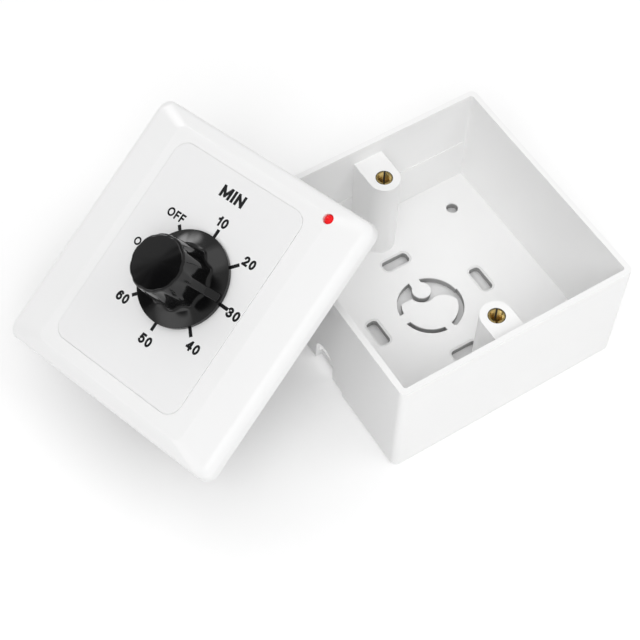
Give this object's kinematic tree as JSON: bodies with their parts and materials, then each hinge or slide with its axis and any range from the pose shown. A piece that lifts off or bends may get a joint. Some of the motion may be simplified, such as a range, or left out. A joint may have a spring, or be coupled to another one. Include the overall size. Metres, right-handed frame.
{
  "type": "timer light switch",
  "caption": "Wall timer switch: square faceplate with a pointer knob, printed time scale and indicator, leaning on its open surface back box.",
  "frame": {"origin": "middle of the back box's back face, the face that goes on the wall", "axes": "+Z out of the box's open side; the plate screws lie on Y; the cable entry is in the -X wall, under the leaning faceplate"},
  "size_m": [0.1634, 0.1155, 0.0733],
  "materials": {
    "box_plastic": "satin moulded white",
    "cover_plastic": "smooth moulded white",
    "label_film": "printed film",
    "frame_plastic": "moulded black",
    "case_plastic": "fine spark texture, black",
    "knob_plastic": "polished black",
    "black_plastic": "moulded",
    "brown_plastic": "phenolic",
    "blue_plastic": "moulded",
    "yellow_plastic": "moulded",
    "coil_copper": "enamelled wire",
    "brass": "turned",
    "steel": "zinc plated",
    "red_lens": "clear red",
    "wire_sleeve": "soft sleeve",
    "board": "solder mask"
  },
  "bodies": {
    "box": {"back_box": "box_plastic", "brass_inserts": "brass"},
    "plate": {"front_cover": "cover_plastic", "scale_label": "label_film", "mounting_frame": "frame_plastic", "indicator_led": "red_lens", "led_wires": "wire_sleeve", "module_case": "case_plastic", "case_screws": "steel", "circuit_board": "board", "board_screws": "steel", "terminal_block": "frame_plastic", "terminal_clamps": "brass", "terminal_screws": "steel", "switch_housing": "black_plastic", "switch_base": "brown_plastic", "switch_pins": "steel", "switch_bush": "steel", "switch_washer": "steel", "switch_nut": "steel", "relay_base": "black_plastic", "relay_coil": "coil_copper", "relay_yoke": "steel", "relay_contact": "brass", "relay_cover": "blue_plastic", "film_capacitor": "yellow_plastic", "storage_capacitor": "black_plastic", "varistor": "blue_plastic", "rectifier": "black_plastic", "timer_chip": "black_plastic", "resistors": "brown_plastic"},
    "knob": {"knob": "knob_plastic", "knob_bush": "brass", "grub_screw": "steel", "switch_shaft": "steel", "switch_rotor": "case_plastic", "switch_wiper": "brass"},
    "armature": {"relay_armature": "steel"}
  },
  "joints": [
    {"name": "plate_lift", "type": "slide", "parent": "box", "child": "plate", "axis": [0, 0, 1], "range_m": [0, 0.08]},
    {"name": "knob_turn", "type": "hinge", "parent": "plate", "child": "knob", "pos_m": [-0.07348, 0.01915, 0.04541], "axis": [-0.4787, 0, 0.878], "range_deg": [-135, 180]},
    {"name": "armature_swing", "type": "hinge", "parent": "plate", "child": "armature", "pos_m": [-0.05757, 0.03008, 0.05066], "axis": [-0.8378, -0.299, -0.4568], "range_deg": [0, 3], "stiffness_Nm_per_rad": 0.002, "springref_deg": -2.86}
  ]
}
